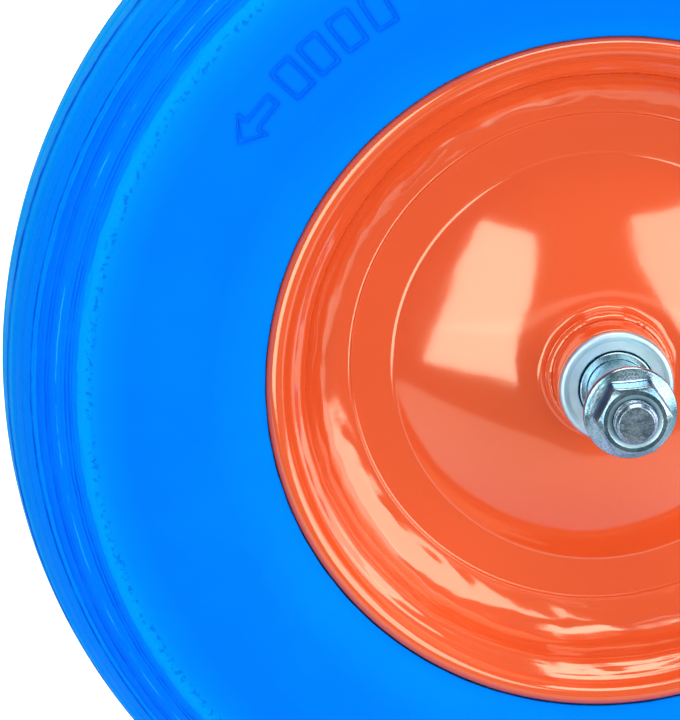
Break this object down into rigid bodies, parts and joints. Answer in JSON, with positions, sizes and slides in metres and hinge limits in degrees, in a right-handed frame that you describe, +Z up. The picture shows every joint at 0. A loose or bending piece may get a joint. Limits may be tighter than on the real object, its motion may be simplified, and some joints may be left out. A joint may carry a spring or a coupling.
{
  "type": "wheelbarrow wheel",
  "caption": "Barrow wheel: solid foam tyre on a welded two-piece steel rim, ball bearings and a tubular axle with a through stud and flange nuts.",
  "frame": {"origin": "centre of the wheel, on the axle's centre line in the plane where the two rim halves meet", "axes": "+Y along the axle, away from the face that is seen first; +Z up; +X completes a right-handed frame"},
  "size_m": [0.402, 0.1632, 0.402],
  "materials": {
    "tyre_foam": "satin moulded foam, solid blue",
    "rim_paint": "glossy powder coat, orange",
    "zinc": "bright zinc plating with a pale blue tint",
    "steel": "polished bearing steel"
  },
  "bodies": {
    "axle": {"axle_tube": "zinc", "axle_stud": "zinc", "flange_nut_front": "zinc", "flange_nut_back": "zinc", "bearing_race_front": "zinc", "bearing_race_back": "zinc", "race_spacer": "steel"},
    "wheel": {"tyre": "tyre_foam", "rim_half_front": "rim_paint", "rim_half_back": "rim_paint", "hub_tube": "rim_paint", "hub_weld_front": "rim_paint", "hub_weld_back": "rim_paint", "bearing_cup_front": "zinc", "bearing_cup_back": "zinc", "bearing_cover_front": "zinc", "bearing_cover_back": "zinc"},
    "balls_front": {"bearing_balls_front": "steel"},
    "balls_back": {"bearing_balls_back": "steel"}
  },
  "joints": [
    {"name": "wheel_spin", "type": "hinge", "parent": "axle", "child": "wheel", "pos_m": [0, 0, 0], "axis": [0, 1, 0], "continuous": true},
    {"name": "front_balls_roll", "type": "hinge", "parent": "axle", "child": "balls_front", "pos_m": [0, -0.0313, 0], "axis": [0, 1, 0], "continuous": true},
    {"name": "back_balls_roll", "type": "hinge", "parent": "axle", "child": "balls_back", "pos_m": [0, 0.0313, 0], "axis": [0, 1, 0], "continuous": true}
  ],
  "couplings": [
    {"joint": "front_balls_roll", "follows": "wheel_spin", "ratio": 0.59},
    {"joint": "back_balls_roll", "follows": "wheel_spin", "ratio": 0.59}
  ]
}
